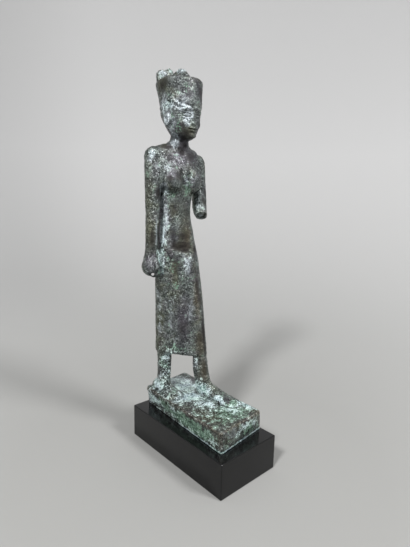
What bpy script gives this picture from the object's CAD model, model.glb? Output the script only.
# %% [markdown]
# # A striding goddess in old bronze
# This lesson finishes a small Egyptian bronze: a slender goddess in a long tight dress and a flat
# crown, cast in one piece with her oblong base and set on a polished black block. Her plain
# measured solids are loaded first. The lesson then gives them their relief, their corroded skin
# and their colours.
# Sizes in the lesson are in millimetres, which suit a figure the height of a hand. Blender works
# in metres, so each size is multiplied by `MM` on its way into a mesh.

import math
from types import SimpleNamespace

import bmesh
import bpy
import numpy as np
from mathutils import Matrix, Vector, noise


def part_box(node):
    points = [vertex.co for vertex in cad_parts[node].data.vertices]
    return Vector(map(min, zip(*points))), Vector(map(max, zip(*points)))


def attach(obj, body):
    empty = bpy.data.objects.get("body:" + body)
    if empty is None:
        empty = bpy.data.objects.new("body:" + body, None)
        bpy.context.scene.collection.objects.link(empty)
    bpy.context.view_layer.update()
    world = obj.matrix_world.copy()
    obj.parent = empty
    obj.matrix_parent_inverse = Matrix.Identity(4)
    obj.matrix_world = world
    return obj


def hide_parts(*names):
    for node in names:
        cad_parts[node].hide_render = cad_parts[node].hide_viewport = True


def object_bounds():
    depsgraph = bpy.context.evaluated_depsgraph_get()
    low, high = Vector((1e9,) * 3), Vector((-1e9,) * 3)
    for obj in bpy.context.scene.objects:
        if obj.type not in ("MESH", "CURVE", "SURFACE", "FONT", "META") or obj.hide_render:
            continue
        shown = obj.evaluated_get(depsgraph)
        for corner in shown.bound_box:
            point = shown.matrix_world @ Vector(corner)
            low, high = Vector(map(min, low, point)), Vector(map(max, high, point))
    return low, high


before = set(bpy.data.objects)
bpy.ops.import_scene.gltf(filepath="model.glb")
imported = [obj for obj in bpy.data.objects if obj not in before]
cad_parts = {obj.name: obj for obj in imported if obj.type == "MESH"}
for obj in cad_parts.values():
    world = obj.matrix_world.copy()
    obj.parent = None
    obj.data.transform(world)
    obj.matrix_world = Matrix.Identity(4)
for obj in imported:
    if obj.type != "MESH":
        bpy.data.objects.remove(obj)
cad_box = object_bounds()
MM = 0.001
size_mm = (cad_box[1] - cad_box[0]) / MM
print("the whole piece measures", [round(v, 1) for v in size_mm], "mm")

# %% [markdown]
# ## The camera
# The camera stands to the figure's right front, close to it and a little above. A lens of about
# 27 mm held that near gives the block its strong perspective. Three turns aim it: a tilt, a turn
# about the upright axis and a slight roll. Euler angles would do the same, but one product of
# turns keeps the order plain.

# %% Camera
CAMERA_PLACE = Vector((-117.59, -130.74, 114.35))
CAMERA_AZIMUTH = -42.226
CAMERA_TILT = 9.789
CAMERA_ROLL = 1.236
CAMERA_LENS = 26.98


def turned(degrees, axis):
    return Matrix.Rotation(math.radians(degrees), 4, axis)


camera = bpy.data.objects.new("camera", bpy.data.cameras.new("camera"))
bpy.context.collection.objects.link(camera)
camera.data.lens = CAMERA_LENS
camera.data.clip_start = 0.01
camera.matrix_world = (
    Matrix.Translation(CAMERA_PLACE * MM)
    @ turned(CAMERA_AZIMUTH, "Z")
    @ turned(90 - CAMERA_TILT, "X")
    @ turned(CAMERA_ROLL, "Z")
)
bpy.context.scene.camera = camera
bpy.context.scene.view_settings.view_transform = "Standard"
print("camera is", round(CAMERA_PLACE.length), "mm from the block's foot")

# %% [markdown]
# ## Floor and light
# Photographers stand small bronzes on a paper sweep, so that no line shows behind them. Here the
# sweep is a shallow bowl: a profile of floor, curve and wall is spun once about the upright axis.
# A flat plane would show its horizon, and a one-sided sweep would end in the views from behind.

# %% Paper sweep
SWEEP_FLAT = 0.22
SWEEP_CURVE = 0.62
SWEEP_WALL = 0.9
CURVE_STEPS = 12
SPIN_STEPS = 72


def make_object(name, form):
    """Turns a bmesh into an object and links it."""
    mesh = bpy.data.meshes.new(name)
    form.to_mesh(mesh)
    form.free()
    made = bpy.data.objects.new(name, mesh)
    bpy.context.collection.objects.link(made)
    return made


def paper_sweep():
    form = bmesh.new()
    profile = [form.verts.new((0, 0, 0)), form.verts.new((SWEEP_FLAT, 0, 0))]
    for step in range(1, CURVE_STEPS + 1):
        angle = math.radians(90) * step / CURVE_STEPS
        reach = SWEEP_FLAT + SWEEP_CURVE * math.sin(angle)
        rise = SWEEP_CURVE * (1 - math.cos(angle))
        profile.append(form.verts.new((reach, 0, rise)))
    profile.append(form.verts.new((SWEEP_FLAT + SWEEP_CURVE, 0, SWEEP_WALL)))
    edges = [form.edges.new(ends) for ends in zip(profile, profile[1:])]
    bmesh.ops.spin(
        form, geom=profile + edges, cent=(0, 0, 0), axis=(0, 0, 1),
        angle=math.tau, steps=SPIN_STEPS, use_merge=True,
    )
    bmesh.ops.remove_doubles(form, verts=form.verts, dist=1e-5)
    bmesh.ops.recalc_face_normals(form, faces=form.faces)
    bmesh.ops.reverse_faces(form, faces=form.faces)
    for face in form.faces:
        face.smooth = True
    return make_object("paper_sweep", form)


sweep = paper_sweep()
print("paper sweep:", len(sweep.data.polygons), "faces")

# %% [markdown]
# Small bronzes are usually lit by two soft lamps, one on each side of the camera, so that each
# side of the figure has its own run of glints and the paper gets two faint crossing shadows. A
# lamp is named by the way it stands from the figure: its azimuth, its height in degrees and how
# far off it is. An even pale sky over the open bowl fills the shadows.

# %% Lights
LAMP_AIM = Vector((0, 0, 0.09))
LAMP_DISTANCE = 0.85
SKY_STRENGTH = 0.62


def lamp(name, azimuth, height, size, power):
    light = bpy.data.lights.new(name, "AREA")
    light.shape = "DISK"
    light.size = size
    light.energy = power
    holder = bpy.data.objects.new(name, light)
    bpy.context.collection.objects.link(holder)
    turn, rise = math.radians(azimuth), math.radians(height)
    level = math.cos(rise)
    toward = Vector((math.cos(turn) * level, math.sin(turn) * level, math.sin(rise)))
    holder.location = LAMP_AIM + toward * LAMP_DISTANCE
    holder.rotation_euler = (-toward).to_track_quat("-Z", "Y").to_euler()


lamp("left_lamp", 200, 43.5, 0.15, 8.6)
lamp("right_lamp", 289, 42, 0.22, 6.2)
sky = bpy.data.worlds.new("sky")
bpy.context.scene.world = sky
sky.use_nodes = True
sky.node_tree.nodes["Background"].inputs["Color"].default_value = (1.0, 1.0, 1.0, 1)
sky.node_tree.nodes["Background"].inputs["Strength"].default_value = SKY_STRENGTH

# %% [markdown]
# ## The bronze: one casting
# The figure, her feet and the base left the mould as one piece, so they are one mesh here too.
# The measured solid is copied, its loose triangles are merged, and a few soft forms are pushed
# into it: the cheeks, the breasts, the fronts of the shoulders, and the web of metal between the
# right hand and the hip. A voxel remesh then turns everything into one even skin, fine enough to
# carve. Sculpting by hand would give the same skin, but code can be run again.
# First come the heights and places that many rules share. The face's heights are shares of the
# skull's height, as in the old canon.

# %% Places on the figure
MIDDLE = 0.8
CHIN = 141.2
SKULL_HEIGHT = 18.6
BUST = 123.5
EYES = CHIN + SKULL_HEIGHT * 0.51
NOSE_FOOT = CHIN + SKULL_HEIGHT * 0.31
MOUTH = CHIN + SKULL_HEIGHT * 0.205
FACE_FRONT = 8.7
CROWN_FOOT = 155.2
HEM = 43.4
BASE_TOP = 24.5
BLOCK_TOP = 15.5
FIST = Vector((-12.9, 21.0, 83.6))
BREAK_POINT = np.array((11.8, 15.0, 108.7))
BREAK_FACING = np.array((-0.3, -0.72, -0.62))

# %% [markdown]
# Now the wax is put together and melted into one skin. Each pair of balls is given once, by how
# far it stands from the middle, and is pressed in on both sides.

# %% One even skin
VOXEL = 0.4
PAIRED_BALLS = {
    "cheek": ((3.1, FACE_FRONT + 3.4, NOSE_FOOT + 0.9), (2.7, 2.5, 2.6)),
    "breast": ((5.5, 16.3, BUST), (4.8, 4.6, 5.1)),
    "shoulder": ((9.6, 18.6, 127.0), (2.6, 3.2, 6.5)),
}
WEB_BESIDE_HAND = ((-10.0, 20.6, 88.6), (1.7, 2.2, 5.2))


def add_ball(form, centre, radii):
    """A ball pushed into the wax: centre and half sizes in millimetres."""
    sizes = Matrix.Diagonal((*(r * MM for r in radii), 1))
    place = Matrix.Translation(Vector(centre) * MM) @ sizes
    bmesh.ops.create_uvsphere(form, u_segments=24, v_segments=16, radius=1, matrix=place)


def cast_forms():
    form = bmesh.new()
    form.from_mesh(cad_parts["bronze_figure"].data)
    bmesh.ops.remove_doubles(form, verts=form.verts, dist=1e-6)
    for side in (-1, 1):
        for (across, deep, up), radii in PAIRED_BALLS.values():
            add_ball(form, (MIDDLE + side * across, deep, up), radii)
    add_ball(form, *WEB_BESIDE_HAND)
    return form


def settle(piece):
    """Turns what the modifiers of a piece show into its own mesh."""
    shown = piece.evaluated_get(bpy.context.evaluated_depsgraph_get())
    mesh = bpy.data.meshes.new_from_object(shown)
    piece.modifiers.clear()
    piece.data = mesh


goddess = make_object("bronze_goddess", cast_forms())
melt = goddess.modifiers.new("melt", "REMESH")
melt.mode = "VOXEL"
melt.voxel_size = VOXEL * MM
settle(goddess)
print("one skin of", len(goddess.data.polygons), "faces")

# %% [markdown]
# The face needs a finer net than the dress, so the quads in front of the head are cut in four.
# Cutting the whole skin would waste most of the faces on places that stay plain.

# %% A finer net on the face
FACE_BOX = ((-7.5, 5.0, CHIN - 0.5), (9.0, 15.0, CROWN_FOOT + 1.5))


def refine(piece, low, high):
    """Cuts each quad that lies between the lowest and the highest corner of a box in four."""
    form = bmesh.new()
    form.from_mesh(piece.data)
    chosen = []
    for edge in form.edges:
        place = (edge.verts[0].co + edge.verts[1].co) / (2 * MM)
        if all(a < p < b for a, p, b in zip(low, place, high)):
            chosen.append(edge)
    bmesh.ops.subdivide_edges(form, edges=chosen, cuts=1, use_grid_fill=True)
    bmesh.ops.triangulate(form, faces=form.faces)
    form.to_mesh(piece.data)
    form.free()


refine(goddess, *FACE_BOX)
print("after cutting:", len(goddess.data.polygons), "faces")

# %% [markdown]
# ## Carving by distance
# Each carved line is a rule about distance: a vertex that lies near the line sinks or rises along
# its normal, and the effect fades with a bell curve. All vertices are worked on at once as numpy
# arrays, which is as quick as a modifier and far more exact than a texture.

# %% Read and write the skin
def read_skin(piece):
    """Vertex places in millimetres and their normals, one row each."""
    mesh = piece.data
    count = len(mesh.vertices)
    places = np.empty(count * 3)
    normals = np.empty(count * 3)
    mesh.vertices.foreach_get("co", places)
    mesh.vertices.foreach_get("normal", normals)
    return places.reshape(-1, 3) / MM, normals.reshape(-1, 3)


def write_skin(piece, places):
    piece.data.vertices.foreach_set("co", (places * MM).ravel())
    piece.data.update()


# %% [markdown]
# Four measures make up all the rules: a bell, a soft step, the way out of an egg-shaped spot and
# the distance from a line of points.

# %% Bells, steps and distances
def bell(distance, width):
    """1 on the line, fading to nothing over about twice the width."""
    return np.exp(-((distance / width) ** 2))


def ramp(value, start, end):
    """A soft step from 0 at start to 1 at end."""
    share = np.clip((value - start) / (end - start), 0, 1)
    return share * share * (3 - 2 * share)


def outward(places, middle, reach):
    """0 in the middle of an egg-shaped spot and 1 on its edge, a half size away."""
    return np.linalg.norm((places - middle) / reach, axis=1)


def near_places(places, spots):
    """1 inside any spot, given as (middle, half sizes), fading at its edge."""
    shares = [ramp(outward(places, *spot), 1.3, 0.7) for spot in spots]
    return np.max(shares, axis=0)


def near_line(places, points):
    """Distance from each vertex to a line through the given points."""
    nearest = np.full(len(places), np.inf)
    for start, end in zip(np.array(points[:-1]), np.array(points[1:])):
        along = end - start
        share = np.clip((places - start) @ along / (along @ along), 0, 1)
        away = np.linalg.norm(places - start - share[:, None] * along, axis=1)
        nearest = np.minimum(nearest, away)
    return nearest


# %% [markdown]
# The other helpers know which vertices are neighbours, and smooth the skin with that.

# %% Neighbours
def read_net(piece):
    """The two ends of every edge, and how many edges meet at each vertex."""
    mesh = piece.data
    ends = np.empty(len(mesh.edges) * 2, dtype=np.int64)
    mesh.edges.foreach_get("vertices", ends)
    first, second = ends.reshape(-1, 2).T
    return first, second, np.bincount(ends, minlength=len(mesh.vertices))


def neighbour_mean(places, net):
    """The middle of each vertex's neighbours."""
    first, second, meet = net
    count = len(places)
    total = [
        np.bincount(first, axis[second], count) + np.bincount(second, axis[first], count)
        for axis in places.T
    ]
    return np.array(total).T / meet[:, None]


def soften(places, net, rounds, share):
    """Moves each vertex half way to the middle of its neighbours, as often as rounds says."""
    for _ in range(rounds):
        places = places + 0.5 * share * (neighbour_mean(places, net) - places)
    return places


# %% [markdown]
# The voxel steps go with a few rounds of averaging. The creases where the arms meet the chest and
# where the crown meets the brow get many more, because cast wax flows softly there. Plain
# averaging also shrinks thin forms, so the arms, ankles and stump are left out of the long run.
# The base keeps its crisp edges. Last, whatever stands before the plane of the face is pressed
# back to about half, so that the nose ends low.

# %% Soften the skin
SOFT_SPOTS = [
    ((-9.6, 18.0, 130.0), (3.4, 6.0, 8.5)),
    ((11.0, 18.0, 129.0), (3.2, 6.0, 8.5)),
    ((MIDDLE, 15.0, 133.0), (9.0, 8.0, 4.5)),
    ((MIDDLE, 14.0, 117.0), (7.0, 6.0, 5.0)),
    ((MIDDLE, 17.3, 155.0), (11.0, 12.0, 2.8)),
    ((MIDDLE, 12.0, 154.0), (8.0, 5.0, 3.4)),
    ((-4.8, 14.0, 118.6), (4.6, 4.0, 2.4)),
    ((6.4, 14.0, 118.6), (4.6, 4.0, 2.4)),
    ((MIDDLE, 14.6, 123.0), (1.6, 3.0, 6.0)),
    ((-8.0, 21.0, 43.5), (5.0, 6.0, 2.6)),
    ((7.5, 9.0, 43.5), (5.0, 6.0, 2.6)),
]

NOSE_REACH = 0.55
FEW_ROUNDS, MANY_ROUNDS = 3, 30
BASE_SPARED = 0.7

net = read_net(goddess)
places, normals = read_skin(goddess)
crisp_base = ramp(places[:, 2], BASE_TOP + 1.5, BASE_TOP + 0.2)
places = soften(places, net, FEW_ROUNDS, 1 - BASE_SPARED * crisp_base[:, None])
places = soften(places, net, MANY_ROUNDS, near_places(places, SOFT_SPOTS)[:, None])
in_front = np.clip(FACE_FRONT + 0.4 - places[:, 1], 0, None)
in_front *= ramp(places[:, 2], CHIN - 1, CHIN) * ramp(places[:, 2], CROWN_FOOT, CROWN_FOOT - 2)
places[:, 1] += in_front * (1 - NOSE_REACH)
write_skin(goddess, places)

# %% [markdown]
# ### The face
# Her face is a plain, calm one on the old canon: the eyes half way up the head, the nose ending
# a third of the way up, the mouth at a fifth. Almond eyes sit in shallow hollows between two lid
# lines, a low ridge makes each brow, and one line parts the lips.

# %% Carve the face
EYE_APART = 3.1
EYE_HALF_WIDTH = 1.95
EYE_HALF_HEIGHT = 0.75


def carve_face(places, normals):
    """The features, as a lift along each normal."""
    across = np.abs(places[:, 0] - MIDDLE)
    up = places[:, 2]
    facing = ramp(-normals[:, 1], 0.1, 0.5) * ramp(places[:, 1], 15.5, 14.0)
    from_eye = (across - EYE_APART) / EYE_HALF_WIDTH
    arch = np.sqrt(np.clip(1 - from_eye**2, 0, 1)) * EYE_HALF_HEIGHT
    in_eye = ramp(np.abs(from_eye), 1.25, 0.9)
    socket = bell(across - EYE_APART, 2.6) * bell(up - EYES - 0.5, 1.7)
    eyeball = bell(across - EYE_APART, 1.5) * bell(up - EYES, 0.7)
    lids = bell(up - (EYES + arch), 0.22) + 0.8 * bell(up - (EYES - arch), 0.2)
    outer_line = bell(up - EYES - 0.1, 0.22) * ramp(across, 4.6, 5.1) * ramp(across, 7.0, 6.2)
    brow_height = EYES + 2.0 + 0.45 * np.cos((across - EYE_APART) * 0.6)
    brow = bell(up - brow_height, 0.4) * ramp(across, 0.6, 1.4) * ramp(across, 6.6, 5.4)
    bridge = bell(across, 0.9) * ramp(up, NOSE_FOOT + 0.5, NOSE_FOOT + 2)
    bridge *= ramp(up, EYES + 2.4, EYES + 0.8)
    nose_crease = bell(np.hypot(across - 2.0, (up - NOSE_FOOT - 0.7) * 0.8), 0.45)
    lip_curve = MOUTH - 0.05 + 0.06 * np.clip(across, 0, 2.4) ** 2
    lip_line = bell(up - lip_curve, 0.2) * ramp(across, 2.6, 2.0)
    lip_corner = bell(np.hypot(across - 2.3, up - MOUTH - 0.25), 0.45)
    upper_lip = bell(up - MOUTH - 0.55, 0.4) * ramp(across, 2.4, 1.2)
    lower_lip = bell(up - MOUTH + 0.55, 0.45) * ramp(across, 2.0, 0.9)
    under_lip = bell(up - MOUTH + 1.3, 0.4) * ramp(across, 2.2, 0.8)
    lift = (
        -0.42 * socket + 0.5 * eyeball - 0.3 * lids * in_eye - 0.16 * outer_line + 0.26 * brow
        + 0.22 * bridge - 0.25 * nose_crease - 0.36 * lip_line - 0.2 * lip_corner
        + 0.22 * upper_lip + 0.26 * lower_lip - 0.2 * under_lip
    )
    return facing * lift


# %% [markdown]
# ### Ears and crown
# The ears get the hollow inside their rim. The red crown ends in a low band that runs round the
# brow and climbs over each ear.

# %% Carve ears and crown
EAR = Vector((8.6, 16.0, 149.0))
CROWN_EDGE = [
    (-5.6, 25.0, 154.6), (-7.2, 21.4, 154.8), (-7.6, 19.7, 154.9), (-7.9, 16.3, 156.3),
    (-7.4, 14.3, 157.3), (-6.8, 12.9, 156.1), (-5.4, 11.5, 154.6), (-3.0, 9.5, 153.6),
    (0.1, 8.7, 153.4), (MIDDLE, 8.7, 153.4),
]


def mirrored(points):
    return [(2 * MIDDLE - x, y, z) for x, y, z in points]


def carve_ears(places, normals):
    along = places[:, 1] - EAR.y
    up = places[:, 2] - EAR.z
    on_ear = ramp(np.abs(places[:, 0] - MIDDLE), 7.0, 8.2)
    shell = bell(along / 1.1, 0.75) * bell(up / 2.1, 0.75)
    rim = bell(np.hypot(along / 1.6, up / 2.9) - 1, 0.25)
    return on_ear * (0.25 * rim - 0.32 * shell)


def carve_crown(places, normals):
    edge = np.minimum(near_line(places, CROWN_EDGE), near_line(places, mirrored(CROWN_EDGE)))
    return 0.24 * bell(edge, 0.5) - 0.08 * bell(edge - 1.15, 0.45)


# %% [markdown]
# ### Fingers and toes
# Fingers and toes are only grooves: on a bronze this small and this corroded, nothing more is
# left of them. The grooves of the fist lie a finger's width apart, those of a foot at shares of
# its width.

# %% Carve fingers and toes
FINGER_WIDTH = 1.9
RIGHT_TOES = (-6.5, 8.4)
LEFT_TOES = (9.3, -14.8)
TOE_LINES = (-0.42, -0.05, 0.27, 0.58)
FOOT_HALF_WIDTH = 3.7


def carve_fist(places, normals):
    x, y, z = places.T
    on_fist = ramp(x, -8.6, -9.6) * ramp(z, 79.5, 80.5) * ramp(z, 88.2, 86.4)
    grooves = sum(bell(y - FIST.y - k * FINGER_WIDTH, 0.34) for k in (-1, 0, 1))
    knuckles = ramp(z, 85.8, 84.6)
    thumb_line = bell(np.hypot((x + 12.3) / 1.6, (z - 86.2) / 3.1) - 1, 0.16) * ramp(y, 19.4, 17.8)
    return on_fist * (-0.42 * grooves * knuckles - 0.35 * thumb_line)


def carve_toes(places, normals):
    x, y, z = places.T
    lift = np.zeros(len(places))
    for inner, (middle, tip) in ((1, RIGHT_TOES), (-1, LEFT_TOES)):
        near = ramp(y, tip + 5.2, tip + 3.4) * ramp(y, tip - 3.5, tip - 2.5)
        near *= ramp(np.abs(x - middle), 5.2, 4.4) * ramp(z, BASE_TOP - 0.2, BASE_TOP + 0.3)
        near *= ramp(z, BASE_TOP + 6, BASE_TOP + 5)
        for share in TOE_LINES:
            line = middle - inner * share * FOOT_HALF_WIDTH
            lift -= 0.3 * near * bell(x - line, 0.36)
    return lift


# %% [markdown]
# ### Dress and body
# The dress clings, so it shows only as a soft hem above the ankles. Below the belly a raised
# crust ends in a sharp ledge, with barer metal above it. In a dozen places the casting is a
# little fuller than its plain solid.

# %% Carve dress and ledge
LEDGE_LEFT, LEDGE_RIGHT = -5.0, 4.6
LEDGE_HEIGHT = 92.3


def carve_dress(places, normals):
    x, _, z = places.T
    hem_line = HEM - 0.1 * (x - MIDDLE)
    hem = bell(z - hem_line - 1.1, 0.7) * ramp(z, HEM - 1.6, HEM - 0.4) * ramp(z, HEM + 3, HEM + 2)
    return 0.1 * hem


def carve_ledge(places, normals):
    x, y, z = places.T
    front = ramp(-normals[:, 1], 0.2, 0.6) * ramp(x, LEDGE_LEFT - 1, LEDGE_LEFT + 1)
    front *= ramp(x, LEDGE_RIGHT + 1, LEDGE_RIGHT - 0.6) * ramp(y, 20, 18)
    height = LEDGE_HEIGHT + 0.22 * (MIDDLE - x) + 0.5 * np.sin(x * 1.3)
    below = ramp(z, height + 0.25, height - 0.25) * ramp(z, height - 9, height - 1)
    above = ramp(z, height - 0.25, height + 0.25) * ramp(z, height + 9, height + 1)
    return front * (0.45 * below - 0.5 * above)


SWELLS = [
    ((-8.9, 17.7, 138.6), (4.5, 4.0, 3.0), 0.6), ((8.5, 17.0, 136.6), (4.0, 4.0, 3.0), 0.7),
    ((16.0, 17.0, 116.5), (2.0, 4.0, 7.0), 0.55), ((6.4, 15.6, 100.0), (2.6, 4.0, 6.0), 0.5),
    ((-4.3, 17.9, 36.0), (1.6, 3.5, 6.0), 0.5), ((3.3, 8.2, 36.0), (1.6, 3.5, 6.0), 0.7),
    ((-11.0, 29.5, 24.0), (3.5, 3.5, 2.0), 1.2), ((-9.0, 26.5, 25.5), (2.5, 3.5, 1.6), 0.8),
    ((6.0, 9.5, 166.2), (5.0, 3.0, 1.6), 0.35), ((8.1, 1.1, 29.0), (1.8, 4.0, 1.6), 0.7),
    ((-10.6, 19.0, 107.0), (1.4, 4.0, 12.0), 0.4), ((-8.8, 20.5, 42.4), (2.4, 4.0, 2.4), 0.9),
]


def carve_swells(places, normals):
    """Low swellings where the casting is a little fuller than its plain solid."""
    return sum(
        lift * bell(outward(places, middle, reach), 0.8) for middle, reach, lift in SWELLS
    )


# %% [markdown]
# ### Stump and back
# The left arm is broken off just past the elbow: whatever stands beyond the break is pressed
# flat, and a ring is sunk into the end. The back gets what a plain small bronze has there: the
# furrow of the spine, the edges of the shoulder blades, and the fold below the buttocks.

# %% Cut the stump and carve the back
def cut_stump(places):
    """Presses the end of the broken arm flat and sinks a ring into it."""
    facing = BREAK_FACING / np.linalg.norm(BREAK_FACING)
    beyond = (places - BREAK_POINT) @ facing
    foot = places - beyond[:, None] * facing
    from_middle = np.linalg.norm(foot - BREAK_POINT, axis=1)
    on_stump = ramp(np.linalg.norm(places - BREAK_POINT, axis=1), 6.0, 5.0)
    flat = np.where((beyond > -0.2) & (on_stump > 0), beyond, 0) * on_stump
    ring = 0.6 * bell(from_middle - 1.8, 0.6) + 0.25 * bell(from_middle, 1.2)
    sink = np.where(beyond > -0.35, ring, 0) * on_stump
    return places - (flat + sink)[:, None] * facing


def carve_back(places, normals):
    x, _, z = places.T
    facing = ramp(normals[:, 1], 0.2, 0.7) * ramp(np.abs(x - MIDDLE), 9.5, 8.0)
    spine = bell(x - MIDDLE, 0.9) * ramp(z, 92, 98) * ramp(z, 137, 131)
    cleft = bell(x - MIDDLE, 0.7) * ramp(z, 79, 83) * ramp(z, 93, 90)
    fold = bell(z - 79.5 - 0.08 * (x - MIDDLE) ** 2, 0.8) * ramp(np.abs(x - MIDDLE), 7.5, 5.5)
    blade = bell(np.hypot((np.abs(x - MIDDLE) - 4.6) / 2.6, (z - 128.5) / 5.4) - 1, 0.3)
    blade *= ramp(np.abs(x - MIDDLE), 7.5, 6.5)
    return facing * (-0.4 * spine - 0.3 * cleft - 0.18 * fold + 0.2 * blade)


# %% [markdown]
# All the rules are added up, and the sum moves each vertex along its normal.

# %% Carve the whole skin
places, normals = read_skin(goddess)
carving = sum(
    rule(places, normals)
    for rule in (
        carve_face, carve_ears, carve_crown, carve_fist, carve_toes, carve_dress, carve_ledge,
        carve_back, carve_swells,
    )
)
write_skin(goddess, cut_stump(places + normals * carving[:, None]))
print("deepest cut", round(-carving.min(), 2), "mm, highest ridge", round(carving.max(), 2), "mm")

# %% [markdown]
# ## Twenty-five centuries in the ground
# Buried bronze swells and pits. Three scales of weathering are pressed into the skin: broad
# dents, a crust of grains about a millimetre across, and round pits. The noise functions of
# mathutils read a fixed lattice, so the result is the same each time. The crown's broken top
# gets a coarser grain of its own. In the end every vertex is held inside the measured box, and
# the underside stays flat on the block.

# %% Weathering
DENT_SIZE = 7.0
PATCH_SIZE = 11.0
GRAIN_SIZE = 1.2
PIT_SPACING = 1.9
DENT_DEPTH = 0.25
GRAIN_DEPTH, PATCHY_GRAIN = 0.11, 0.05
PIT_WIDTH = 0.45
PIT_DEPTH, PATCHY_PIT = 0.2, 0.3
CALM_FACE, CALM_BASE = 0.6, 0.35
BREAK_FOOT, BREAK_TOP = 167.5, 169.5
BREAK_SIZE, BREAK_DEPTH = 0.9, 0.3
KEEP_INSIDE = 0.02


def weather(place):
    """How far the skin rises (+) or sinks (-) at a place, in millimetres."""
    dent = noise.noise(place / DENT_SIZE) * DENT_DEPTH
    patch = noise.noise(place / PATCH_SIZE + Vector((7, 3, 1)))
    grain = noise.noise(place / GRAIN_SIZE) + 0.5 * noise.noise(place / (GRAIN_SIZE * 0.47))
    nearest = noise.voronoi(place / PIT_SPACING)[0][0]
    pit = max(0.0, PIT_WIDTH - nearest) / PIT_WIDTH
    depth = PIT_DEPTH + PATCHY_PIT * max(0.0, patch)
    return dent + grain * (GRAIN_DEPTH + PATCHY_GRAIN * patch) - pit * pit * depth


places, normals = read_skin(goddess)
relief = np.array([weather(Vector(p)) for p in places])
break_skin = ramp(places[:, 2], BREAK_FOOT, BREAK_TOP)
jagged = np.array([noise.noise(Vector(p) / BREAK_SIZE) for p in places])
relief += break_skin * jagged * BREAK_DEPTH
on_face = ramp(places[:, 1], 13.5, 11.5) * ramp(places[:, 2], CHIN - 1, CHIN + 1)
on_face *= ramp(places[:, 2], CROWN_FOOT + 1, CROWN_FOOT - 1)
relief *= 1 - CALM_FACE * on_face
relief *= 1 - CALM_BASE * ramp(places[:, 2], BASE_TOP + 1.5, BASE_TOP)
resting = ramp(places[:, 2], BLOCK_TOP + 0.1, BLOCK_TOP + 0.8)
places += normals * (relief * resting)[:, None]
low, high = (np.array(corner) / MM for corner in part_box("bronze_figure"))
places = np.clip(places, low + [KEEP_INSIDE, KEEP_INSIDE, 0], high - KEEP_INSIDE)
write_skin(goddess, places)
print("relief from", round(relief.min(), 2), "to", round(relief.max(), 2), "mm")

# %% [markdown]
# The skin now has more triangles than its relief needs. Decimate drops them where the surface
# is nearly flat, as on the sides of the base, and keeps them on the face.

# %% Thin out the net
MOST_TRIANGLES = 190000

thin = goddess.modifiers.new("thin", "DECIMATE")
thin.ratio = min(1.0, MOST_TRIANGLES / len(goddess.data.polygons))
settle(goddess)
goddess.data.shade_smooth()
print("finished skin:", len(goddess.data.polygons), "triangles")

# %% [markdown]
# ## Where the colours go
# Corrosion is not spread evenly. Pale blue-green crust covers the feet and the figure's right
# flank, green fills the lap and the side of the base, and the belly and skirt keep dark metal.
# Olive, brown and plum are tints of the bare metal, and dark marks where it is deepest. Worn
# places have rubbed or bleached to silver-grey, and speckled ones carry more bright dots and
# pits. Each such place is a soft spot on the skin: its middle, its half sizes and its strength.
# One number per kind of patina is stored on each vertex for the material to read. Two more are
# measured on the skin: how hollow it is, and how sharp the edges of the base are. A painted
# texture could hold the same, but numbers need no image.

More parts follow.
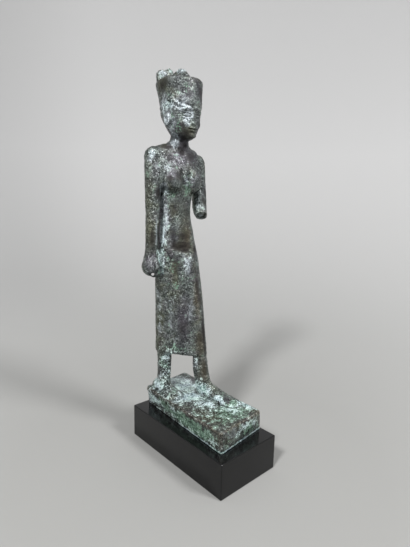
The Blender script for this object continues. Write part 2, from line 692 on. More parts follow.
# %% Places of the patina
PATINA = {}  # rows of x, y, z, the three half sizes and the strength
PATINA["pale"] = [
    (-8.4, 15.9, 147.9, 1.6, 2.2, 2.6, 0.5), (-7.6, 16, 155, 2.6, 4, 3, 1.2),
    (-4.4, 10.6, 154.2, 3, 2.4, 2.6, 0.6), (-2.3, 26.9, 169.8, 6, 5, 3.8, 0.4),
    (-1.2, 16.3, 169, 5.2, 4, 2.4, 0.7), (-14.6, 18, 134.2, 2.2, 2.6, 3, 0.8),
    (2.6, 14, 121.8, 1.6, 2.2, 3.6, 0.3), (-7.9, 19.4, 105.5, 1.4, 2.6, 6, 0.8),
    (-8, 19.6, 97.4, 1.6, 3, 6, 1), (-8.6, 20, 90, 1.4, 3, 5, 1.4),
    (-9.8, 18.8, 84.4, 1, 2, 2.6, 0.8), (-0.6, 8.9, 150, 2.4, 2, 2.4, 0.5),
    (0.1, 10.9, 85.6, 1.8, 2, 3.2, 0.7), (2.4, 10.9, 86.6, 1.8, 2.2, 4.4, 0.5),
    (0.4, 12.6, 91.4, 5, 3, 0.7, 0.7), (-4.8, 14.4, 70.5, 4.2, 3.2, 2.6, 0.7),
    (-5.8, 18.2, 41.4, 3, 3.4, 5, 1.05), (-5, 16, 45.2, 3.4, 3, 2.2, 1.2),
    (-8.6, 21, 27.6, 4.6, 6.6, 3.8, 1.4), (3, 17.6, 24.6, 9, 9.4, 1.8, 1.35),
    (-1.5, 7, 24.6, 9, 7, 1.8, 1.5), (0.6, -5, 24.6, 4.4, 8, 1.6, 1.2),
    (4.6, -14.6, 24.8, 4.6, 6, 1.6, 1.1), (4.4, 4, 28, 3, 6.4, 4.4, 1.7),
    (5, -4, 26.6, 2.6, 6, 2.2, 0.6), (2.8, 7.3, 40.3, 1.8, 2.6, 4.4, 0.8),
    (-9.8, 23, 20, 3.4, 9, 4.8, 1.2), (-11.8, -20.7, 18.2, 3, 5.6, 2.4, 0.7),
    (4.4, -24.6, 21.6, 4.6, 2, 2.6, 0.9), (10.5, -24, 20.6, 3.2, 2, 2.4, 0.9),
    (-14.6, 18.4, 115, 1.4, 2, 1.4, 0.5), (-7, 19, 33, 4, 5, 6, 1),
    (-11, 4, 17.4, 4, 22, 1.8, 0.55), (3, 0, 24.8, 14, 28, 1.6, 0.85),
    (-9.4, 20.6, 66, 0.8, 3, 14, 0.4), (-7.2, 17.4, 89.4, 1.6, 2.4, 5, 0.5),
    (-6.8, 17.5, 119.6, 2, 2.6, 3, 0.9), (-8.8, 17.5, 120.7, 1.6, 2, 1.8, 0.9),
    (4, 13.6, 126, 1.6, 2.4, 2.6, 0.3), (-10, 26, 131, 5, 4, 5, 0.8), (6, 27, 84, 5, 4, 6, 0.7),
    (-4, 28, 50, 5, 5, 7, 0.7), (0, 30, 20, 12, 4, 5, 0.8), (10, 16, 60, 3, 6, 7, 0.6),
    (3, 28, 158, 5, 4, 5, 0.7), (-0.2, 19.5, 170.8, 2.4, 3, 1.6, 0.8),
    (-9.2, 19, 46.7, 1.6, 3, 3, 0.6), (-8.8, 15.5, 26.8, 2.4, 2.6, 1.6, 0.8),
    (9.4, 23.6, 24.6, 4, 5, 1.2, 0.8), (12.8, -14.6, 24.8, 3.6, 6, 1.4, 1.5),
    (5.3, -5.6, 26, 1.8, 2.6, 1.6, 1.8), (9, 13, 24.6, 4, 5, 1.2, 1.3),
    (-8, 28.4, 20, 5, 3, 5, 0.9), (2.2, 26.9, 172.6, 2, 3, 1.6, 1.1),
    (5, -8.6, 25.4, 2, 3, 1.6, 1.5), (-10.2, 13, 24, 1.6, 4, 1.6, 1),
    (7.4, 22.8, 24.6, 4, 4, 1.2, 1), (-0.4, -25, 20.6, 5, 2, 2.4, 0.75),
    (-10.8, 7, 21.4, 2, 6, 2, 0.9), (-7.8, 19.2, 101, 1.6, 1.9, 12, 1),
    (-6.8, 17.6, 102.6, 2, 2.4, 10, 0.4), (-10.4, 18.8, 92.4, 2, 1.4, 3.4, 1.2),
    (-8.5, 18.2, 86.2, 1.2, 1.8, 4.2, 1.1), (-10.7, 18.6, 89, 0.8, 0.9, 0.8, 2.2),
    (-10.1, 18.6, 87.9, 0.8, 0.9, 0.8, 2.2), (-7.6, 19.2, 154.2, 1.8, 2.6, 3, 0.9),
    (-9.5, 18.8, 86.8, 0.8, 0.9, 0.8, 2.2), (-9.1, 18.8, 85.8, 0.7, 0.8, 0.8, 2.2),
    (-8.8, 18.6, 84.7, 0.7, 0.8, 0.8, 2.2), (-8.6, 18.1, 83.6, 0.7, 0.8, 0.8, 1.8),
    (-8.5, 17.8, 82.4, 0.7, 0.8, 0.8, 1.5),
]
PATINA["green"] = [
    (-2.8, 9.4, 162.3, 2.4, 3, 3.4, 0.6), (-4.3, 11.8, 146.1, 3.4, 3, 3.8, 0.75),
    (-15.7, 19.9, 124.3, 1.6, 2.6, 3.8, 0.6), (-4.9, 16.2, 118.4, 4.6, 3.4, 3, 0.5),
    (2, 14, 121.4, 2.2, 2.6, 4.6, 0.9), (-8.2, 20, 91, 2, 2.8, 9, 1.1),
    (-5.6, 15.4, 87.6, 4.4, 3.4, 4.6, 0.5), (-11, 17.8, 84.8, 1.8, 2, 3, 1.2),
    (-2.8, 13, 78.8, 1.8, 3, 6, 0.45), (1.2, 10.2, 77.1, 2.4, 3, 3.9, 0.5),
    (-4.4, 13.7, 46.6, 6, 5, 2.4, 0.8), (-7, 17.4, 38, 3, 4, 6, 1.2),
    (-11.4, -4, 19.4, 3, 18, 3.6, 2), (13.9, -16.8, 24.6, 4.4, 4.4, 2, 0.9),
    (-3.3, -19.3, 24.6, 6.4, 4.4, 1.4, 1), (-10.8, 13.2, 20.7, 3, 8, 3.4, 1.4),
    (6, -25, 19.6, 7, 2.4, 3.6, 1.4), (2, 23, 112, 8, 5, 12, 0.6), (0, 0, 20, 22, 34, 8, 0.7),
    (0, 26, 30, 12, 6, 8, 0.6), (4, -15, 25, 10, 9, 2, 1.7), (-5, 30, 24, 9, 4, 3, 0.8),
    (8.6, 22, 152, 3, 8, 9, 0.7), (-4, 26, 72, 6, 5, 12, 0.9), (8, 22, 100, 3, 6, 9, 0.8),
    (16, 20, 126, 2.4, 6, 7, 0.9), (-3, 28, 142, 6, 5, 6, 0.8),
]
PATINA["olive"] = [
    (-8.4, 18.6, 165, 3.4, 4, 5, 0.7), (-0.6, 9.6, 166, 2.6, 3, 3, 0.5),
    (-2.4, 9.8, 144.6, 4, 3.4, 2.6, 0.6), (-15.8, 20, 116, 2, 5, 16, 0.5),
    (-15.4, 20, 100, 2.4, 5, 9, 0.6), (1, 14.2, 110, 4.4, 3, 7, 0.35),
    (-9.2, 20, 58, 2, 4, 18, 0.8), (-4.6, 14.4, 81.6, 1.3, 2.4, 6.6, 0.7),
    (-2.3, 26, 170.4, 5, 5, 3, 1), (-0.2, 16.4, 170.4, 3.4, 4, 1.8, 0.9),
    (-11, 12, 22, 3, 16, 1.4, 0.8), (8, 1, 29, 3, 7, 3.4, 0.5), (-2, -16, 24.6, 9, 9, 1.4, 0.6),
]
PATINA["brown"] = [
    (-14.8, 18.9, 104.3, 2.4, 3.6, 10.4, 0.5), (2.4, 14.6, 98.6, 3, 3.4, 6.6, 1),
    (4.1, 8.4, 69.9, 2, 4, 13.5, 0.8), (-7, -10.9, 24.6, 5.4, 8, 1.4, 1),
    (-6.4, -25.5, 20.5, 5, 2.6, 3.4, 0.4), (4.6, 6, 48.8, 2.6, 3.6, 8, 0.9),
    (-12.4, -10, 23.8, 2, 18, 1.2, 0.9), (5.4, 4, 37, 2.4, 3.4, 7, 0.9),
    (2, -25, 23.8, 12, 2, 1, 0.9), (1, 14.2, 94.6, 4.6, 3, 2.4, 1), (13, -22, 24, 4, 5, 1.4, 0.9),
    (-13, -22, 20, 2, 6, 4, 0.7), (4, 27, 62, 6, 5, 10, 0.9), (2, 26, 122, 8, 4, 7, 0.7),
    (14, 10, 20, 3, 14, 3, 0.8), (9, 14, 70, 2.6, 6, 12, 0.7),
]
PATINA["plum"] = [
    (-3.6, 10.6, 158.6, 3.6, 3, 6, 0.5), (-2.4, 16, 138.4, 4, 4, 4, 0.7),
    (-2, 15.2, 133, 8, 3.4, 4.6, 1), (-6.4, 14.6, 127.4, 4.4, 3.4, 4, 0.6),
    (-12.6, 17.6, 128, 2.2, 3, 5, 0.6), (-14.6, 17.9, 88.6, 2.4, 3, 4, 0.7),
    (-1.2, 11.8, 62, 4.4, 3.6, 11, 0.8), (1.4, 9.8, 84, 1.8, 2.6, 4.4, 0.6),
    (6, 16.4, 133, 4, 3.4, 4, 0.5),
]
PATINA["dark"] = [
    (-8.5, 18.4, 163.2, 3, 4.6, 3.8, 1.3), (-1.8, 12.2, 141.6, 4, 3.6, 2, 1.3),
    (1, 14, 138.6, 3, 3.4, 3.4, 1.4), (-2, 11.7, 57, 3, 3.6, 7.8, 1.2),
    (-8.4, 16.8, 137.8, 5.4, 5, 1.6, 1.4), (-4.4, 15.6, 97.8, 1.7, 2.4, 6.4, 1.1),
    (-6, 14.2, 121.6, 2.2, 2.2, 2.4, 0.6), (-0.2, 14.4, 94.6, 6.4, 3.2, 2.8, 2.2),
    (11.5, 16.5, 131.5, 2.4, 3.4, 4.2, 0.6), (0.8, 28, 60, 7, 5, 14, 0.5),
    (-9, 22.4, 107, 1.6, 2.6, 12, 2), (1, 14.2, 98.6, 4.6, 3.4, 4.2, 1.3),
    (4.6, 15.4, 134.4, 4.4, 3.4, 3.6, 1.2), (-2, 15, 130.6, 5, 3, 3, 0.5),
    (0, 14, 60, 13, 15, 20, 0.4), (-14.8, 19, 112, 4, 4, 24, 0.3),
    (-4.6, 14.2, 85, 1.6, 3, 7, 1.1), (5.8, 4.6, 37, 2.2, 3, 9, 1.1),
    (4.6, 6.4, 52, 2.4, 3.6, 10, 1), (13.4, 15.8, 115.6, 2, 3, 4, 1.2),
    (-3, 15.6, 115.4, 5, 3, 3.4, 0.7), (2.4, 14.4, 109, 4.6, 3, 9, 1.1),
    (5.6, 8.6, 160.6, 3.6, 4, 5.6, 1.3), (4.2, 9.4, 147, 2.4, 2.6, 6, 0.9),
    (-4.2, 12.6, 125.4, 3.6, 3, 4, 1.3), (4.8, 9, 76, 1.8, 3.4, 14, 1.3),
    (-1.2, 10.4, 143.8, 4.6, 3.4, 3.2, 1.4), (-11.7, 17.3, 118.1, 1.8, 2.6, 4.4, 1.5),
    (-12.9, 17.8, 99, 1.8, 2.6, 4.5, 0.9), (-6.4, 14.2, 124.8, 2.6, 2.6, 2.8, 1.3),
    (-3.7, 15.4, 96.1, 1.8, 2.6, 3, 1.4), (6, 13.6, 93, 2.6, 3.4, 3, 1.4),
    (-5, 14.6, 59.6, 2, 2.6, 4.5, 0.8), (1.8, 8.8, 164.3, 2.4, 2.6, 2.6, 0.9),
    (-1.5, 8.9, 158.5, 2.4, 2.6, 2.4, 0.8), (-8, 15.9, 151.5, 1.6, 2.4, 2.2, 0.9),
    (-4, 16.2, 111.4, 1.8, 2.6, 5, 1), (0.5, 13.5, 93.2, 3, 3, 1.8, 2.2),
    (-3.7, 15.3, 94.9, 1.8, 2.6, 1.8, 1.8), (1.3, -8, 24.6, 2, 2.4, 1.2, 0.8),
    (7.4, -9.4, 26, 1.6, 3, 1.6, 0.8), (5.9, 8.4, 69.7, 1.6, 2.6, 10, 0.9),
    (6.8, 6.4, 54, 1.6, 2.8, 14, 1.6), (5.4, 13.4, 125, 2.2, 2.6, 3.4, 0.6),
    (-8.4, 20.6, 33.6, 1.4, 2.6, 3, 1.1), (-2.4, 9.4, 155, 2.6, 1.8, 1.1, 0.9),
    (-8.1, 22.8, 103, 0.9, 1.2, 11, 2.4), (-10.7, 18.6, 105.4, 0.8, 1.2, 9.6, 1.8),
    (-11.8, 17.2, 84, 1.6, 2, 2.6, 0.8), (-5.4, 15.6, 135.4, 4.4, 3, 2.6, 0.7),
    (1, 10.4, 66, 4.2, 3.4, 9, 0.6), (-5.6, 12.6, 148.2, 1.3, 1.9, 2.6, 0.9),
    (-0.3, 15.2, 136.1, 2.1, 2.4, 2.1, 1.8), (-7.8, 13.6, 124.6, 2.2, 2.4, 2, 1.5),
    (-14.2, 18.2, 99, 1.5, 2.4, 5, 1.5), (15, 16.6, 118.2, 1.5, 2.6, 4, 1.2),
    (-9.6, 20.4, 54, 0.7, 2, 4, 0.7), (4.2, 9, 165.4, 3.2, 2.6, 2.2, 1.1),
    (-6.4, 16.4, 95.8, 1.3, 2, 3, 0.9),
]
PATINA["worn"] = [
    (-4, 10.6, 155.4, 3.4, 3, 4, 0.8), (-5.9, 11.6, 154.6, 1.8, 2, 3, 0.9),
    (-6.6, 14.6, 154.6, 3.4, 4.2, 2.6, 0.7), (-1.4, 9.2, 151.2, 2.6, 2.4, 3.6, 1.3),
    (-8, 15.9, 147.6, 1.5, 2.4, 3.6, 1.8), (-3.8, 16.2, 141, 2, 2.6, 4, 1.7),
    (-14.6, 18.2, 133.6, 2.4, 2.6, 3.4, 1), (-3.4, 15.3, 134, 2, 2.4, 3, 0.4),
    (-8.6, 14.9, 129, 2.8, 2.6, 2.4, 0.6), (3, 12.9, 124, 2, 2.4, 3.4, 0.4),
    (-7.8, 19.4, 113.1, 1.6, 2.4, 5, 1), (-7.4, 18.8, 106.5, 2, 3, 8, 1.2),
    (-7.6, 19, 99.4, 2.2, 2.6, 8, 0.7), (-14, 17.9, 89.2, 1.9, 2.4, 3.4, 0.5),
    (11, 15.7, 112.9, 2, 2.8, 2.4, 0.6), (2, 11, 85.4, 1.8, 2.4, 5, 0.7),
    (-6, 14.9, 62, 1.4, 3, 10, 0.5), (1.4, 9.8, 66, 2.8, 2.4, 6, 0.6),
    (11.6, 15, 127, 1.6, 2.4, 5, 0.6), (-8.7, 18.8, 87, 1.8, 2.4, 6.4, 1.4),
    (-9.3, 20.2, 70, 1.2, 3, 9, 0.7), (-6.2, 16.4, 145.4, 2, 2.6, 3, 1),
    (-8, 17.6, 57, 1.4, 3, 6, 0.5), (-14.4, 18.2, 109, 1.2, 2.6, 5, 0.5),
    (-4.6, 10.7, 153.8, 2, 2.4, 2.8, 1.4), (-2.4, 9.4, 148.9, 1.8, 2.2, 3.2, 1.4),
    (-6.1, 14.4, 147.8, 1.8, 2.2, 2.6, 0.9), (-7.6, 18.8, 154.6, 2, 3.4, 4.4, 1.5),
    (-12.1, 16.8, 127.7, 1.6, 2.4, 3, 0.6), (1.4, 13.9, 123.8, 1.6, 2.2, 3.6, 1),
    (-8.6, 17.8, 120.8, 2.2, 3, 2.8, 1.7), (10.9, 17.2, 114.6, 1.4, 2.4, 4.6, 0.9),
    (0.4, 11, 85.6, 2.2, 2.2, 4.6, 1), (-2.6, 12.7, 71, 3, 2.4, 2.4, 0.5),
    (-9.1, 19.3, 57, 1.4, 2.4, 7, 0.7), (-4.2, 13.8, 51, 2.4, 2.4, 3, 0.6),
    (0.9, 9.5, 60.7, 1.8, 2.4, 5, 0.5), (-1, 10.5, 48.7, 2.4, 2.4, 2.4, 0.4),
    (-4, -25.1, 21.6, 6, 2.2, 3.6, 0.7), (-2.3, 26, 170, 5, 5, 3.2, 0.9),
    (-0.2, 16.4, 170.2, 3.4, 4, 1.8, 1.2), (4, 21, 24.6, 8, 8, 1.8, 1.8),
    (-12.2, 17.5, 101, 0.5, 1.4, 9, 0.9), (-11.7, -13, 22.6, 2, 7, 2, 0.5),
    (11.9, 16, 108.2, 1.1, 1.1, 0.8, 1.5), (0, 0, 20, 22, 36, 9, 0.58),
    (1, 20.6, 24.6, 3.4, 4, 1.6, 2.4),
]
PATINA["speckled"] = [
    (-3, 12, 162, 9, 9, 11, 1), (-13, 18, 128, 5, 5, 12, 1), (-14.6, 19, 108, 3.6, 5, 24, 1),
    (-4, 15, 126, 9, 5, 12, 0.7), (-4, 11, 149, 7, 6, 6, 0.3), (13, 16, 118, 4, 5, 16, 0.7),
]

# %% [markdown]
# The table is now laid on the skin. Where spots overlap the strongest counts, and each fades
# like a bell, so no spot shows an outline. The foot of the base gets a pale line all round.

# %% Store the numbers on the skin
HOLLOW_SPAN = 0.22
EDGE_SPAN = 0.09
SPOT_FADE = 0.95
FOOT_PALE, FOOT_PALER_IN_FRONT = 0.6, 1.6
MARKED = 0.4


def hollowness(piece, rounds):
    """Above 0 in a hollow and below 0 on a ridge: how far the neighbours stand out."""
    places, normals = read_skin(piece)
    smooth = soften(places, read_net(piece), rounds * 2, 1.0)
    return ((smooth - places) * normals).sum(axis=1)


def store(piece, name, values):
    layer = piece.data.attributes.new(name, "FLOAT", "POINT")
    layer.data.foreach_set("value", values.astype(np.float32))


places, normals = read_skin(goddess)
hollow = hollowness(goddess, 8)
store(goddess, "hollow", np.clip(0.5 + hollow / HOLLOW_SPAN, 0, 1))
on_base = ramp(places[:, 2], BASE_TOP + 0.6, BASE_TOP + 0.1)
on_base *= ramp(places[:, 2], BLOCK_TOP + 1, BLOCK_TOP + 2)
store(goddess, "edge", np.clip(-hollowness(goddess, 2) / EDGE_SPAN, 0, 1) * on_base)
for kind, spots in PATINA.items():
    amount = np.zeros(len(places))
    for *numbers, strength in spots:
        away = outward(places, numbers[:3], numbers[3:])
        amount = np.maximum(amount, strength * bell(away, SPOT_FADE))
    if kind == "pale":
        foot_line = ramp(places[:, 2], BLOCK_TOP + 1.1, BLOCK_TOP + 0.6)
        along_foot = FOOT_PALE + FOOT_PALER_IN_FRONT * ramp(places[:, 1], 8, -6)
        amount = np.maximum(amount, foot_line * along_foot)
    store(goddess, kind, amount)
    share = round(100 * float((amount > MARKED).mean()))
    print(kind, "patina on", share, "percent of the vertices")
print("hollows run from", round(hollow.min(), 2), "to", round(hollow.max(), 2), "mm")

# %% [markdown]
# ## The bronze's finish
# The metal is a dark skin that still glints, clouded from near-black to grey, with brown, olive
# and plum tints and silvery worn places. Over it lie a green crust and a pale one, which is
# greener here and bluer there. Each crust is a threshold on noise, and the stored numbers lower
# that threshold, so its edge stays ragged everywhere. The edges of the base are rubbed back to
# brown metal. Small bright specks and small dark pits are scattered over all, and the darkest
# places are sooty. Crust and soot are dull and metal is not, so the same masks also drive how
# metallic and how rough the surface is.
# A material is a net of small nodes. Here its values add and multiply like numbers, so that a
# recipe reads as a sum and not as a list of wires.

# %% Values that add up
class Value:
    """A number or colour that varies over a surface. It takes part in sums like a number."""

    def __init__(self, recipe, socket):
        self.recipe = recipe
        self.socket = socket

    def __add__(self, other):
        return self.recipe.math("ADD", self, other)

    def __sub__(self, other):
        return self.recipe.math("SUBTRACT", self, other)

    def __rsub__(self, other):
        return self.recipe.math("SUBTRACT", other, self)

    def __mul__(self, other):
        return self.recipe.math("MULTIPLY", self, other)

    def __truediv__(self, other):
        return self.recipe.math("DIVIDE", self, other)


# %% [markdown]
# A recipe opens a new material and has one short call per kind of node: clouds of noise, numbers
# stored on the skin, soft steps, mixed colours and bumps.

# %% Recipes for materials
class Recipe:
    """A material's node tree."""

    def __init__(self, name):
        self.material = bpy.data.materials.new(name)
        self.material.use_nodes = True
        self.tree = self.material.node_tree
        self.shader = self.tree.nodes["Principled BSDF"]
        self.place = Value(self, self.node("TexCoord").outputs["Object"])

    def node(self, kind):
        return self.tree.nodes.new("ShaderNode" + kind)

    def join(self, source, socket):
        """Feeds a socket with a value, a constant, or a colour as seen on screen (0 to 255)."""
        if isinstance(source, Value):
            self.tree.links.new(source.socket, socket)
        elif isinstance(source, tuple):
            linear = (((v / 255 + 0.055) / 1.055) ** 2.4 for v in source)
            socket.default_value = (*linear, 1)
        else:
            socket.default_value = source

    def cloud(self, size_mm, detail=3.0, rough=0.55, twist=0.0):
        node = self.node("TexNoise")
        self.join(self.place, node.inputs["Vector"])
        node.inputs["Scale"].default_value = 1 / (size_mm * MM)
        node.inputs["Detail"].default_value = detail
        node.inputs["Roughness"].default_value = rough
        node.inputs["Distortion"].default_value = twist
        return Value(self, node.outputs["Fac"])

    def stored(self, name):
        node = self.node("Attribute")
        node.attribute_name = name
        return Value(self, node.outputs["Fac"])

    def math(self, kind, first, second=0.0):
        node = self.node("Math")
        node.operation = kind
        self.join(first, node.inputs[0])
        self.join(second, node.inputs[1])
        return Value(self, node.outputs[0])

    def at_most(self, value, most):
        return self.math("MINIMUM", value, most)

    def step(self, value, start, end, low=0.0, high=1.0):
        """A soft step from low, where the value is start, to high, where it is end."""
        node = self.node("MapRange")
        node.interpolation_type = "SMOOTHSTEP"
        for socket, source in zip(node.inputs, (value, start, end, low, high)):
            self.join(source, socket)
        return Value(self, node.outputs["Result"])

    def mix(self, share, first, second):
        """The first colour where the share is 0, the second where it is 1."""
        node = self.node("Mix")
        node.data_type = "RGBA"
        colours = [socket for socket in node.inputs if socket.type == "RGBA"]
        self.join(share, node.inputs["Factor"])
        self.join(first, colours[0])
        self.join(second, colours[1])
        mixed = next(socket for socket in node.outputs if socket.type == "RGBA")
        return Value(self, mixed)

    def bump(self, height, distance_mm, strength, under=None):
        node = self.node("Bump")
        node.inputs["Strength"].default_value = strength
        node.inputs["Distance"].default_value = distance_mm * MM
        self.join(height, node.inputs["Height"])
        if under is not None:
            self.join(under, node.inputs["Normal"])
        return Value(self, node.outputs["Normal"])

    def shade(self, name, source):
        """Hands a value or a constant to the shader."""
        self.join(source, self.shader.inputs[name])


# %% [markdown]
# ### Bare metal
# Four noises run through the whole recipe: clouds a centimetre wide, blots, grains and dust. The
# three finer ones make one fine tone, and most colours below are a pair, a dark and a light one,
# with that tone between them. Where the metal is darkest the tone is calmer, as on the belly.

# %% Bare metal
METAL = (34, 41, 38), (140, 150, 146)
NIGHT = (35, 35, 38), (80, 82, 86)
EARTH = (42, 38, 30), (112, 104, 84)
OLIVE = (44, 47, 37), (116, 119, 99)
PLUM = (46, 44, 49), (117, 113, 122)
SILVER = (106, 115, 120), (204, 212, 218)
SILVER_COVERS = 0.75
TINTS = [  # stored name, colours, size and edges of its clouds, their share, stored share, most
    ("brown", EARTH, 7, (0.52, 0.7), 0.25, 0.85, 0.85),
    ("olive", OLIVE, 6, (0.5, 0.68), 0.5, 1.0, 0.8),
    ("plum", PLUM, 8, (0.52, 0.68), 0.5, 1.0, 0.8),
]


def shared_layers(paint):
    """The noises and stored numbers that all parts of the recipe read."""
    layer = SimpleNamespace(
        clouds=paint.cloud(9, 3), blots=paint.cloud(3.2, 4, 0.62, 0.3),
        grains=paint.cloud(1.1, 4, 0.72), dust=paint.cloud(0.5, 3, 0.7),
        hollow=paint.stored("hollow"), bare=paint.stored("dark"),
    )
    fine = layer.dust * 0.44 + layer.grains * 0.33 + layer.blots * 0.23
    layer.tone = paint.step(fine, 0.43, 0.57)
    return layer


def bare_metal(paint, layer):
    calm = layer.bare * 0.5 + paint.step(layer.clouds, 0.5, 0.66, 0.0, 0.3)
    calm = paint.at_most(calm, 0.6)
    tone = layer.tone * (1.0 - calm) + calm * 0.4
    gloom = paint.step(layer.clouds, 0.42, 0.6, 0.0, 0.5) + layer.bare * 0.6
    metal = paint.mix(tone, *METAL)
    metal = paint.mix(paint.at_most(gloom, 1.0), metal, paint.mix(tone, *NIGHT))
    for kind, ends, size, edges, cloudy, stored, most in TINTS:
        share = paint.step(paint.cloud(size, 3), *edges, 0.0, cloudy)
        share = paint.at_most(share + paint.stored(kind) * stored, most)
        metal = paint.mix(share, metal, paint.mix(tone, *ends))
    shine = paint.step(paint.stored("worn") + (layer.blots - 0.5) * 1.6, 0.3, 0.9)
    return paint.mix(shine * SILVER_COVERS, metal, paint.mix(tone, *SILVER))


# %% [markdown]
# ### Crust and marks
# The green crust follows the blots and gathers in hollows. The pale one is finer. Both keep off
# the dark places. Their two numbers are the noise values between which a crust sets in: the
# closer together they are, the crisper its edge. A stored number of 1 lowers both by the number
# that follows, which is how the table of places draws the crust.

# %% Crust and marks
MOSS = (33, 57, 43), (110, 146, 123)
CHALK = (88, 124, 119), (203, 222, 219)
FROST = (92, 116, 126), (203, 217, 223)
RUBBED = (55, 51, 45), (116, 108, 97)
SPECK, PIT, HOLLOW, SOOT = (192, 200, 197), (20, 23, 20), (18, 20, 18), (30, 26, 24)
GREEN_SETS_IN, GREEN_LOWERED = (0.585, 0.65), 0.12
PALE_SETS_IN, PALE_LOWERED = (0.57, 0.65), 0.13
SPECKS_SET_IN, PITS_SET_IN, BOTH_LOWERED = (0.575, 0.63), (0.56, 0.62), 0.025
MOSS_COVERS, CHALK_COVERS, SPECKS_COVER, PITS_COVER = 0.8, 0.85, 0.7, 0.75
CRUST_SPARES_DARK, MARKS_SPARE_DARK = 0.05, 0.03


def crusted(paint, layer, metal):
    """The metal under green and pale crust, and how much crust there is."""
    spared = layer.bare * CRUST_SPARES_DARK
    reach = layer.blots * 0.5 + layer.grains * 0.5 + layer.hollow * 0.06 - spared
    green = paint.step(reach + paint.stored("green") * GREEN_LOWERED, *GREEN_SETS_IN)
    skin = paint.mix(green * MOSS_COVERS, metal, paint.mix(layer.tone, *MOSS))
    crisp = layer.grains * 0.36 + layer.dust * 0.34 + layer.blots * 0.3 - spared
    pale = paint.step(crisp + paint.stored("pale") * PALE_LOWERED, *PALE_SETS_IN)
    cold = paint.step(paint.cloud(5, 3), 0.44, 0.58, 0.0, 0.8)
    chalk = paint.mix(cold, paint.mix(layer.tone, *CHALK), paint.mix(layer.tone, *FROST))
    skin = paint.mix(pale * CHALK_COVERS, skin, chalk)
    return skin, paint.math("MAXIMUM", green * 0.7, pale)


def marked(paint, layer, skin):
    """Rubbed edges, bright specks, dark pits and soot over the skin, and how sooty it is."""
    rubbed = paint.stored("edge") + (layer.grains * 0.8 - 0.4)
    rubbed = paint.step(rubbed, 0.35, 0.85, 0.0, 0.55)
    skin = paint.mix(rubbed, skin, paint.mix(layer.tone, *RUBBED))
    lowered = paint.stored("speckled") * BOTH_LOWERED
    spared = layer.bare * MARKS_SPARE_DARK
    specks = layer.dust * 0.6 + layer.grains * 0.4 - spared
    specks = paint.step(specks + lowered, *SPECKS_SET_IN)
    skin = paint.mix(specks * SPECKS_COVER, skin, SPECK)
    pits = paint.step(paint.cloud(0.75, 4, 0.72) - spared + lowered, *PITS_SET_IN)
    skin = paint.mix(pits * PITS_COVER, skin, PIT)
    skin = paint.mix(paint.step(layer.hollow, 0.62, 0.95, 0.0, 0.6), skin, HOLLOW)
    soot = paint.step(layer.bare, 0.5, 1.5, 0.0, 0.75)
    soot = soot + paint.step(layer.bare, 1.7, 2.2, 0.0, 0.2)
    return paint.mix(soot, skin, SOOT), soot


# %% [markdown]
# ### The whole recipe
# Colour, metal and gloss go to the shader. Dust and grains also bend its normal a little, which
# gives the skin a texture finer than its triangles.

# %% Old bronze
METAL_BARE, METAL_CRUSTED = 0.7, 0.05
SMOOTH, ROUGH = 0.26, 0.44
CRUST_ROUGHENS, SOOT_ROUGHENS = 0.25, 0.35


def old_bronze():
    paint = Recipe("old_bronze")
    layer = shared_layers(paint)
    skin, crust = crusted(paint, layer, bare_metal(paint, layer))
    skin, soot = marked(paint, layer, skin)
    gloss = paint.step(paint.cloud(1.8, 3), 0.35, 0.65, SMOOTH, ROUGH)
    fine = paint.bump(layer.dust, 0.2, 0.9)
    paint.shade("Base Color", skin)
    paint.shade("Metallic", paint.step(crust, 0.0, 1.0, METAL_BARE, METAL_CRUSTED))
    paint.shade("Roughness", gloss + crust * CRUST_ROUGHENS + soot * SOOT_ROUGHENS)
    paint.shade("Normal", paint.bump(layer.grains, 0.3, 0.7, fine))
    return paint.material


goddess.data.materials.clear()
goddess.data.materials.append(old_bronze())
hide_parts("bronze_figure")
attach(goddess, "root")

# %% [markdown]
# ## The block
# The block is polished black, with arrises just broken so that they don't chip. A cube operator
# makes its body, and a bevel of a fraction of a millimetre gives every edge the thin line of
# light that tells the eye it is real. Without a bevel, the edges would look drawn.

# %% Black block
ARRIS = 0.35
ARRIS_STEPS = 3
BLACK = (8, 8, 9), (22, 22, 24)
BLACK_GLOSS = 1.42


def black_block():
    low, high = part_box("plinth")
    size = high - low
    form = bmesh.new()
    place = Matrix.Translation((low + high) / 2) @ Matrix.Diagonal((*size, 1))
    bmesh.ops.create_cube(form, size=1, matrix=place)
    bmesh.ops.bevel(
        form, geom=form.edges, offset=ARRIS * MM, offset_type="OFFSET",
        affect="EDGES", segments=ARRIS_STEPS, profile=0.5, material=-1,
    )
    bmesh.ops.recalc_face_normals(form, faces=form.faces)
    return make_object("black_block", form)


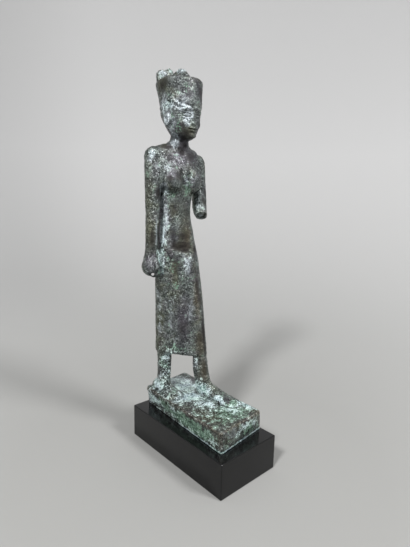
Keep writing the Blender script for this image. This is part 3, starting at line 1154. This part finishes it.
def polished_black():
    paint = Recipe("polished_black")
    film = paint.step(paint.cloud(6, 4, 0.6), 0.45, 0.8)
    paint.shade("Base Color", paint.mix(film * 0.35, *BLACK))
    paint.shade("Roughness", paint.step(paint.cloud(11, 3), 0.35, 0.7, 0.1, 0.2))
    paint.shade("Normal", paint.bump(paint.cloud(2.5, 2), 0.02, 0.25))
    paint.shade("IOR", BLACK_GLOSS)
    return paint.material


block = black_block()
block.data.materials.append(polished_black())
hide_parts("plinth")
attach(block, "root")
print("block:", len(block.data.polygons), "faces")

# %% [markdown]
# The paper is one sheet, but its far part catches more light than the floor near the block, its
# left side a little less, and the part behind the camera lies in the dark of the room, which the
# polished block and the metal mirror. The sheet's own grey changes with distance and direction
# from the middle, which is quicker to set than more lamps and screens.

# %% Paper
FLOOR_AND_WALL = (138, 138, 136), (191, 191, 191)
FADE_START, FADE_LENGTH = 0.08, 0.6
LEFT_GREY, LEFT_SIDE = (110, 110, 110), (0.74, -0.67)
ROOM_GREY, ROOM_SIDE = (58, 58, 60), (-0.67, -0.74)
ROOM_START, ROOM_END = 0.28, 0.6


def plain_paper():
    paint = Recipe("plain_paper")
    split = paint.node("SeparateXYZ")
    paint.join(paint.place, split.inputs[0])
    x, y = (Value(paint, split.outputs[axis]) for axis in ("X", "Y"))
    away = paint.math("SQRT", x * x + y * y)
    share = paint.math("MAXIMUM", (away - FADE_START) / FADE_LENGTH, 0.0)
    tone = paint.mix(paint.at_most(share, 1.0), *FLOOR_AND_WALL)
    to_left = (x * LEFT_SIDE[0] + y * LEFT_SIDE[1]) / away
    left = paint.step(to_left, -0.25, -0.6) * paint.step(away, 0.16, 0.4, 0.0, 0.28)
    tone = paint.mix(left, tone, LEFT_GREY)
    to_room = x * ROOM_SIDE[0] + y * ROOM_SIDE[1]
    tone = paint.mix(paint.step(to_room, ROOM_START, ROOM_END, 0.0, 0.9), tone, ROOM_GREY)
    paint.shade("Base Color", tone)
    paint.shade("Roughness", 0.9)
    return paint.material


sweep.data.materials.append(plain_paper())
